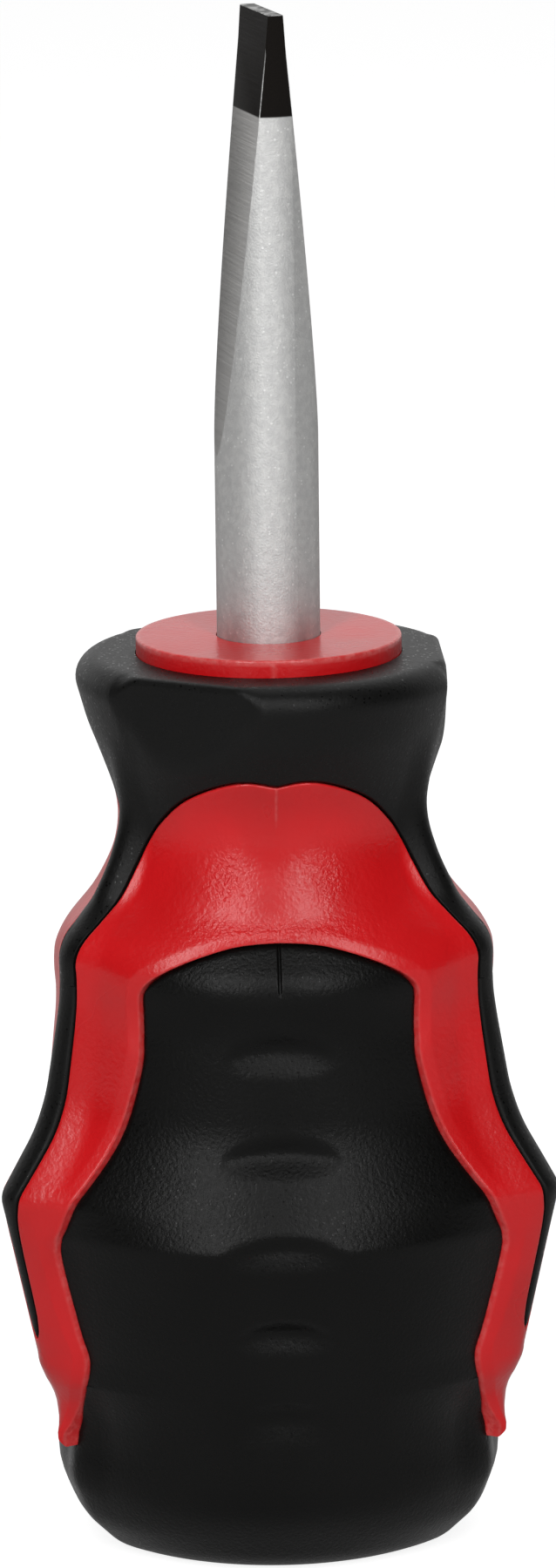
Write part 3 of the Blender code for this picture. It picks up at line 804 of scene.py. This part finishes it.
def makeGrip():
    make = gripSettings
    corner, foot = handleForm["panelCorner"], handleForm["legFoot"]
    end = len(handleForm["innerEdge"]) - 1
    crown = evenly(curveKeys("innerEdge", 0, corner), make["columns"], np.array(make["slitSteps"]),
                   make["columnBend"])
    side = evenly(curveKeys("innerEdge", corner, foot), make["rows"])
    heel = evenly(curveKeys("innerEdge", foot, end), make["heelSteps"])
    edge = moved(np.vstack([crown, side[1:], heel[1:]]), -handleForm["seam"])
    crown, side = edge[:len(crown)], edge[len(crown) - 1:len(crown) + make["rows"]]
    heel = edge[-make["heelSteps"] - 1:]
    hip = handleForm["innerEdge"][handleForm["hip"]][1]
    length = lengthAlong(inMm(crown))
    u = (length / length[-1])[None, :]
    v = np.linspace(0, 1, len(side))[:, None]
    faceHip = handleForm["face"][handleForm["faceHip"]][0]
    sideLevels, faceLevels = [side[-1, 1], hip, side[0, 1]], [side[-1, 1], faceHip, crown[0, 1]]
    middle = np.interp(side[:, 1], sideLevels, faceLevels)[:, None]
    angle = (1 - v) * crown[None, :, 0] + v * u * side[-1, 0]
    angle = angle + u * (side[:, :1] - (1 - v) * crown[-1, 0] - v * side[-1, 0])
    height = (1 - u) * middle + u * side[:, 1:] + (1 - v) * crown[None, :, 1]
    height = height - (1 - v) * ((1 - u) * crown[0, 1] + u * crown[-1, 1])
    across = np.radians(angle) * skin(angle, height)
    # rounded rim where the panel meets the frame
    edgeFlat = inMm(edge)
    spots = np.stack([across, height], axis=-1).reshape(-1, 2)
    reach = []
    for start in range(0, len(spots), make["block"]):
        block = spots[start:start + make["block"], None, :]
        reach.append(np.min(np.linalg.norm(block - edgeFlat[None, ::2, :], axis=2), axis=1))
    reach = np.concatenate(reach).reshape(height.shape)
    reach[0, :], reach[:, -1] = 0, 0
    slit = make["slitDepth"] * np.exp(-(across / make["slitWidth"]) ** 4)
    slit = slit * (height > make["slitFrom"])
    radius = skin(angle, height) - sink(height) - scoop(across, height) - slit
    radius = radius - fillet(reach, make["edgeRound"])
    panel = layGrid("panel", onHandle(angle, height, radius))
    # base: from the foot of the panel and the heel down to the flat
    rim = np.vstack([np.column_stack([angle[-1], height[-1]]), heel[1:]])
    part = (1 - np.linspace(0, 1, make["baseRows"])) ** make["baseBend"]
    part = np.concatenate([make["rimSteps"], part[1:]])[:, None]
    baseAngle = np.broadcast_to(rim[:, 0], (len(part), len(rim)))
    baseHeight = part * rim[:, 1]
    across = np.radians(baseAngle) * skin(baseAngle, baseHeight)
    column = np.arange(len(rim)) - len(angle[-1]) + 1  # 0 and above lie on the heel
    reach = np.where(column >= 0, (1 - part) * rim[:, 1], farAway)
    radius = skin(baseAngle, baseHeight) - sink(baseHeight) - scoop(across, baseHeight)
    # under the feet the crest gives way to a soft swell, so the feet stand proud
    crest = np.interp(baseHeight, *crestLine)
    rise = (baseHeight - make["swellFrom"]) / (make["swellFull"] - make["swellFrom"])
    swell = make["swell"] * eased(rise)
    below = (1 - part) * rim[:, 1] / make["swellReach"]
    change = np.maximum(eased(below), eased(column / make["swellColumns"]))
    radius = radius + change * (swell - crest) * crestShare(baseAngle)
    radius = radius - fillet(reach, make["edgeRound"])
    base = layGrid("base", onHandle(baseAngle, baseHeight, radius))
    grip = threeSides([panel, base], "baseGrip")
    selectEdges(grip, lambda a, b: max(a.z, b.z) < make["near"])
    bpy.ops.mesh.edge_face_add()
    leaveEdit()
    cleaned(grip)
    thickened(grip, make["wall"], lowest=make["floor"])
    return grip


grip = makeGrip()
print("grip:", len(grip.data.polygons), "faces")


# finishes

def node(tree, kind, **values):
    made = tree.nodes.new(kind)
    for key, value in values.items():
        if key in made.inputs:
            made.inputs[key].default_value = value
        else:
            setattr(made, key, value)
    return made


def newGroup(name, inputs, outputs):
    # all sockets carry plain values
    tree = bpy.data.node_groups.new(name, "ShaderNodeTree")
    for label, value in inputs.items():
        socket = tree.interface.new_socket(label, in_out="INPUT", socket_type="NodeSocketFloat")
        socket.default_value = value
    for label in outputs:
        tree.interface.new_socket(label, in_out="OUTPUT", socket_type="NodeSocketFloat")
    return tree, tree.nodes.new("NodeGroupInput"), tree.nodes.new("NodeGroupOutput")


def useGroup(tree, group, **values):
    made = tree.nodes.new("ShaderNodeGroup")
    made.node_tree = group
    for key, value in values.items():
        made.inputs[key].default_value = value
    return made


def feed(tree, value, socket):
    # a link from another node, a colour or a plain value
    if hasattr(value, "is_linked"):
        tree.links.new(value, socket)
    elif value is not None:
        socket.default_value = (*value, 1) if isinstance(value, tuple) else value


def mathNode(tree, operation, a, b=None, c=None, clamp=False):
    made = node(tree, "ShaderNodeMath", operation=operation, use_clamp=clamp)
    for socket, value in zip(made.inputs, (a, b, c)):
        feed(tree, value, socket)
    return made.outputs[0]


def mixColour(tree, share, a, b):
    made = node(tree, "ShaderNodeMix", data_type="RGBA")
    for index, value in ((0, share), (6, a), (7, b)):  # its factor and its two colours
        feed(tree, value, made.inputs[index])
    return made.outputs[2]


def band(tree, value, low, high, least=0.0, most=1.0):
    # a smooth step from least to most while the value goes from low to high
    made = node(tree, "ShaderNodeMapRange", interpolation_type="SMOOTHSTEP")
    for index, part in enumerate((value, low, high, least, most)):
        feed(tree, part, made.inputs[index])
    return made.outputs[0]


effectSettings = {
    "grain": {"Detail": 2.0, "Roughness": 0.55}, "patches": {"Detail": 2.0, "Roughness": 0.5},
    "wearAndHighlight": {"Detail": 3.0, "Roughness": 0.6}, "breakupRange": (0.4, 0.65), "breakupMore": 0.65, "breakupLeast": 0.35,
}


def sizeTexture(tree, texture, size):
    # a texture on Object coordinates whose size is given in mm
    spot = node(tree, "ShaderNodeTexCoord")
    tree.links.new(spot.outputs["Object"], texture.inputs["Vector"])
    tree.links.new(mathNode(tree, "DIVIDE", 1 / mm, size), texture.inputs["Scale"])


def makeGrainGroup():
    # moulded grain: fine bumps with a slower unevenness
    tree, given, out = newGroup("mouldGrain", {"Size": 0.2, "Patch": 6.0}, ["Height", "Patches"])
    fine = node(tree, "ShaderNodeTexNoise", **effectSettings["grain"])
    slow = node(tree, "ShaderNodeTexNoise", **effectSettings["patches"])
    sizeTexture(tree, fine, given.outputs["Size"])
    sizeTexture(tree, slow, given.outputs["Patch"])
    tree.links.new(fine.outputs["Fac"], out.inputs["Height"])
    tree.links.new(slow.outputs["Fac"], out.inputs["Patches"])
    return tree


def makeWearAndHighlightGroup():
    # rubbed edges, and on the frames a painted highlight line: the piece's own edge mark, broken up
    make = effectSettings
    tree, given, out = newGroup("edgeWearAndHighlight", {"Amount": 0.5, "Size": 0.4}, ["Mask"])
    mark = node(tree, "ShaderNodeAttribute", attribute_name="edge")
    texture = node(tree, "ShaderNodeTexNoise", **make["wearAndHighlight"])
    sizeTexture(tree, texture, given.outputs["Size"])
    broken = band(tree, texture.outputs["Fac"], *make["breakupRange"])
    uneven = mathNode(tree, "MULTIPLY_ADD", broken, make["breakupMore"], make["breakupLeast"])
    mask = mathNode(tree, "MULTIPLY", mark.outputs["Fac"], uneven)
    mask = mathNode(tree, "MULTIPLY", mask, given.outputs["Amount"], clamp=True)
    tree.links.new(mask, out.inputs["Mask"])
    return tree


def makeSpeckGroup():
    # scattered specks: a share of the cells, each with a dot in it
    tree, given, out = newGroup("specks", {"Size": 0.5, "Share": 0.1, "Dot": 0.28}, ["Mask"])
    cells = node(tree, "ShaderNodeTexVoronoi")
    split = node(tree, "ShaderNodeSeparateColor")
    sizeTexture(tree, cells, given.outputs["Size"])
    tree.links.new(cells.outputs["Color"], split.inputs[0])
    chosen = mathNode(tree, "LESS_THAN", split.outputs[0], given.outputs["Share"])
    inside = mathNode(tree, "LESS_THAN", cells.outputs["Distance"], given.outputs["Dot"])
    tree.links.new(mathNode(tree, "MULTIPLY", chosen, inside), out.inputs["Mask"])
    return tree


grainGroup, wearAndHighlightGroup, speckGroup = makeGrainGroup(), makeWearAndHighlightGroup(), makeSpeckGroup()


def newFinish(name):
    material = bpy.data.materials.new(name)
    material.use_nodes = True
    tree = material.node_tree
    return material, tree, tree.nodes["Principled BSDF"]


def setShader(tree, shader, values):
    for label, value in values.items():
        feed(tree, value, shader.inputs[label])


def bumpTo(tree, shader, height, strength, distance):
    bump = node(tree, "ShaderNodeBump", Strength=strength, Distance=distance)
    tree.links.new(height, bump.inputs["Height"])
    tree.links.new(bump.outputs["Normal"], shader.inputs["Normal"])


def around(tree, value, middle, span):
    # a value of 0 to 1 laid evenly round a middle
    return mathNode(tree, "MULTIPLY_ADD", value, span, middle - span / 2)


redSettings = {
    # the lighter pink is rubbed wear on the collar rim and parting lines, and a painted highlight along the
    # frames' lip and outer edge
    "colour": (0.65, 0.007, 0.01), "deep": (0.58, 0.006, 0.008), "wornAndHighlight": (0.76, 0.2, 0.19),
    "roughness": 0.29, "roughnessRange": 0.16, "specular": 0.43,
    "grain": {"Size": 0.35, "Patch": 7.0}, "patchRange": (0.35, 0.65), "wearAndHighlight": {"Amount": 0.55, "Size": 0.5},
    "flowMarks": {"Scale": 4500.0, "Detail": 2.0, "Roughness": 0.5, "Distortion": 0.4},
    "flowShare": 0.8, "grainShare": 0.2, "bump": (0.65, 0.0002),
}


def makeRed():
    make = redSettings
    material, tree, shader = newFinish("redCore")
    grain = useGroup(tree, grainGroup, **make["grain"])
    wearAndHighlight = useGroup(tree, wearAndHighlightGroup, **make["wearAndHighlight"])
    patches = band(tree, grain.outputs["Patches"], *make["patchRange"])
    body = mixColour(tree, patches, make["deep"], make["colour"])
    # lighter pink on the edge mark: rubbed wear, and painted highlight lines along the frames
    body = mixColour(tree, wearAndHighlight.outputs["Mask"], body, make["wornAndHighlight"])
    uneven = around(tree, grain.outputs["Patches"], make["roughness"], make["roughnessRange"])
    setShader(tree, shader, {"Base Color": body, "Roughness": uneven, "Specular IOR Level": make["specular"]})
    # flow marks on the brow of the arch
    spot = node(tree, "ShaderNodeTexCoord")
    brow = node(tree, "ShaderNodeAttribute", attribute_name="flow")
    marks = node(tree, "ShaderNodeTexNoise", **make["flowMarks"])
    tree.links.new(spot.outputs["Object"], marks.inputs["Vector"])
    lumps = mathNode(tree, "MULTIPLY", marks.outputs["Fac"], brow.outputs["Fac"])
    grained = mathNode(tree, "MULTIPLY", grain.outputs["Height"], make["grainShare"])
    height = mathNode(tree, "MULTIPLY_ADD", lumps, make["flowShare"], grained)
    bumpTo(tree, shader, height, *make["bump"])
    return material


rubberSettings = {
    "colour": (0.002, 0.002, 0.0018), "dusty": (0.0032, 0.0032, 0.003), "dust": (0.06, 0.06, 0.058),
    "patch": 9.0, "patchRange": (0.35, 0.7), "roughnessRange": 0.16, "bumpDistance": 0.0001,
    "dustSpecks": {"Size": 0.7, "Share": 0.012, "Dot": 0.09},
    "glintSpecks": {"Size": 0.17, "Share": 0.12, "Dot": 0.45},
    # roughness, specular, glint, grain size and bump of each
    "sleeve": (0.46, 0.19, 0.26, 0.2, 0.2),
    "grip": (0.36, 0.135, 0.26, 0.22, 0.3),
}


def makeRubber(name, kind):
    make = rubberSettings
    roughness, specular, glint, grainSize, bumpStrength = make[kind]
    material, tree, shader = newFinish(name)
    grain = useGroup(tree, grainGroup, Size=grainSize, Patch=make["patch"])
    dust = useGroup(tree, speckGroup, **make["dustSpecks"])
    glints = useGroup(tree, speckGroup, **make["glintSpecks"])
    patches = band(tree, grain.outputs["Patches"], *make["patchRange"])
    body = mixColour(tree, patches, make["colour"], make["dusty"])
    body = mixColour(tree, dust.outputs["Mask"], body, make["dust"])
    uneven = around(tree, grain.outputs["Height"], roughness, make["roughnessRange"])
    smooth = mathNode(tree, "MULTIPLY_ADD", glints.outputs["Mask"], glint - roughness, uneven)
    setShader(tree, shader, {"Base Color": body, "Roughness": smooth, "Specular IOR Level": specular})
    bumpTo(tree, shader, grain.outputs["Height"], bumpStrength, make["bumpDistance"])
    return material


steelSettings = {
    "colour": (0.62, 0.62, 0.615), "bright": (0.69, 0.69, 0.68), "ground": (0.78, 0.77, 0.755),
    "blackened": (0.012, 0.0105, 0.0095), "speckled": (0.95, 0.95, 0.94), "grazing": (0.15, 0.15, 0.15),
    "roughness": 0.56, "groundRoughness": 0.36, "roughnessRange": 0.2, "specular": 0.015,
    "grain": {"Size": 0.14, "Patch": 0.45}, "patchRange": (0.35, 0.68),
    "specks": {"Size": 0.2, "Share": 0.08, "Dot": 0.35}, "speckShare": 0.5,
    "rubbed": {"Amount": 1.0, "Size": 0.9},
    "lineScale": (150, 150, 5200), "lineDetail": 2.0, "lineShade": 0.72,
    "finishFade": 0.06, "bump": (0.4, 0.00005),
}


def makeSteel():
    make, blades = steelSettings, bladeSettings
    material, tree, shader = newFinish("satinSteel")
    spot = node(tree, "ShaderNodeTexCoord")
    place = node(tree, "ShaderNodeSeparateXYZ")
    tree.links.new(spot.outputs["Object"], place.inputs[0])
    grain = useGroup(tree, grainGroup, **make["grain"])
    specks = useGroup(tree, speckGroup, **make["specks"])
    ground = node(tree, "ShaderNodeAttribute", attribute_name="ground").outputs["Fac"]
    edge = useGroup(tree, wearAndHighlightGroup, **make["rubbed"])
    # blasted bar
    patches = band(tree, grain.outputs["Patches"], *make["patchRange"])
    bar = mixColour(tree, patches, make["colour"], make["bright"])
    dotted = mathNode(tree, "MULTIPLY", specks.outputs["Mask"], make["speckShare"])
    bar = mixColour(tree, dotted, bar, make["speckled"])
    # fine grinding across the flats
    turned = node(tree, "ShaderNodeMapping")
    turned.inputs["Rotation"].default_value = (0, 0, radians(-blades["azimuth"]))
    turned.inputs["Scale"].default_value = make["lineScale"]
    tree.links.new(spot.outputs["Object"], turned.inputs["Vector"])
    lines = node(tree, "ShaderNodeTexNoise", Scale=1.0, Detail=make["lineDetail"])
    tree.links.new(turned.outputs["Vector"], lines.inputs["Vector"])
    darker = tuple(make["lineShade"] * part for part in make["ground"])
    flat = mixColour(tree, lines.outputs["Fac"], make["ground"], darker)
    metal = mixColour(tree, ground, bar, flat)
    # blackened end, rubbed bright on its corners
    low, fade = blades["tip"] - blades["finishLength"], make["finishFade"]
    black = band(tree, place.outputs["Z"], (low - fade) * mm, (low + fade) * mm)
    unrubbed = mathNode(tree, "SUBTRACT", 1.0, edge.outputs["Mask"], clamp=True)
    kept = mathNode(tree, "MULTIPLY", black, unrubbed, clamp=True)
    body = mixColour(tree, kept, metal, make["blackened"])
    bare = mathNode(tree, "SUBTRACT", 1.0, kept, clamp=True)
    span = make["roughnessRange"]
    smoother = make["groundRoughness"] - make["roughness"]
    satin = mathNode(tree, "MULTIPLY_ADD", ground, smoother, make["roughness"] - span / 2)
    rough = mathNode(tree, "MULTIPLY_ADD", grain.outputs["Height"], span, satin)
    setShader(tree, shader, {"Base Color": body, "Metallic": bare, "Roughness": rough,
                             "Specular IOR Level": make["specular"], "Specular Tint": make["grazing"]})
    height = mixColour(tree, ground, grain.outputs["Height"], lines.outputs["Fac"])
    bumpTo(tree, shader, height, *make["bump"])
    return material


smoothBelow = {"steel": 20, "moulded": 50}  # degrees


def finishPiece(piece, cadNode, material, kind):
    piece.data.materials.clear()
    piece.data.materials.append(material)
    pick(piece)
    bpy.ops.object.shade_smooth_by_angle(angle=radians(smoothBelow[kind]))
    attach(piece, "root")
    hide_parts(cadNode)


finishPiece(blade, "blade", makeSteel(), "steel")
finishPiece(core, "handle_core", makeRed(), "moulded")
finishPiece(sleeve, "neck_sleeve", makeRubber("blackSleeve", "sleeve"), "moulded")
finishPiece(grip, "base_grip", makeRubber("blackGrip", "grip"), "moulded")
print("finishes on")


# studio

studio = {
    # camera
    "distance": 0.418, "height": 0.14398, "azimuth": -2.1, "pitch": 13.04, "roll": -0.657,
    "sideStep": 0.00047, "lens": 160.9, "sensor": 36, "clipStart": 0.01,
    # lamps: name, azimuth, elevation, distance, size, power; azimuth 0 is the front, positive to the right
    "boxes": [("leftBox", -23, 32, 0.7, (0.1, 0.62), 2.45), ("rightBox", 19, 32, 0.7, (0.1, 0.62), 1.95),
              ("topBox", 180, 75, 0.8, (0.6, 0.5), 0.8)],
    "target": (0, 0, 0.05),
    # level of the world at its side, then behind and in front: where that begins, is full, its level
    "worldSide": 0.03, "worldBack": (0.0, 0.55, 1.0), "worldFront": (-0.45, -0.8, 0.28), "worldDiffuse": 0.4,
    "floor": (0.5, 0.5, 0.5), "floorSize": 6, "floorRoughness": 0.9, "floorSeen": 0.85, "floorMirrored": 0.3,
}


def placed(name, data):
    item = bpy.data.objects.new(name, data)
    bpy.context.collection.objects.link(item)
    return item


def aimed(name, azimuth, elevation, distance, size, power):
    turn, rise = radians(azimuth), radians(elevation)
    x, y, z = studio["target"]
    flat = distance * cos(rise)
    lamp = bpy.data.lights.new(name, "AREA")
    lamp.shape = "RECTANGLE"
    lamp.size, lamp.size_y = size
    lamp.energy = power
    box = placed(name, lamp)
    box.location = (x + flat * sin(turn), y - flat * cos(turn), z + distance * sin(rise))
    box.rotation_euler = (radians(90) - rise, 0, turn)


for values in studio["boxes"]:
    aimed(*values)

world = bpy.data.worlds.new("studio")
bpy.context.scene.world = world
world.use_nodes = True
sky = world.node_tree
# pale behind the tool, dark at its sides, dim on the camera's side
way = node(sky, "ShaderNodeTexCoord")
split = node(sky, "ShaderNodeSeparateXYZ")
sky.links.new(way.outputs["Generated"], split.inputs[0])
ends = [band(sky, split.outputs["Y"], begin, full, studio["worldSide"], level)
        for begin, full, level in (studio["worldBack"], studio["worldFront"])]
level = mathNode(sky, "MAXIMUM", *ends)
path = node(sky, "ShaderNodeLightPath")
# the pale sheet behind is for reflections and gives little light
dimmed = mathNode(sky, "MULTIPLY_ADD", path.outputs["Is Diffuse Ray"], studio["worldDiffuse"] - 1, 1)
level = mathNode(sky, "MULTIPLY", level, dimmed)
strength = mathNode(sky, "MAXIMUM", level, path.outputs["Is Camera Ray"])
setShader(sky, sky.nodes["Background"], {"Strength": strength, "Color": (1, 1, 1)})

clearSelection()
bpy.ops.mesh.primitive_plane_add(size=studio["floorSize"])
floor = added("floor")
paper, tree, shader = newFinish("paper")
light = node(tree, "ShaderNodeLightPath")
glossy, through = light.outputs["Is Glossy Ray"], light.outputs["Is Transmission Ray"]
mirrored = mathNode(tree, "MULTIPLY", mathNode(tree, "MAXIMUM", glossy, through), studio["floorMirrored"])
glow = mathNode(tree, "MULTIPLY_ADD", light.outputs["Is Camera Ray"], studio["floorSeen"], mirrored)
setShader(tree, shader, {"Base Color": studio["floor"], "Roughness": studio["floorRoughness"],
                         "Specular IOR Level": 0.0, "Emission Color": (1, 1, 1), "Emission Strength": glow})
floor.data.materials.append(paper)

cameraData = bpy.data.cameras.new("camera")
camera = placed("camera", cameraData)
bpy.context.scene.camera = camera
turn = radians(studio["azimuth"])
right = np.array([cos(turn), sin(turn), 0])
back = np.array([sin(turn), -cos(turn), 0])
spot = back * studio["distance"] + right * studio["sideStep"]
camera.location = (spot[0], spot[1], studio["height"])
camera.rotation_euler = (radians(90 - studio["pitch"]), 0, turn)
camera.rotation_euler = (camera.rotation_euler.to_matrix()
                         @ Matrix.Rotation(radians(studio["roll"]), 3, "Z")).to_euler()
cameraData.lens = studio["lens"]
cameraData.sensor_width = studio["sensor"]
cameraData.clip_start = studio["clipStart"]
bpy.context.scene.view_settings.view_transform = "Standard"
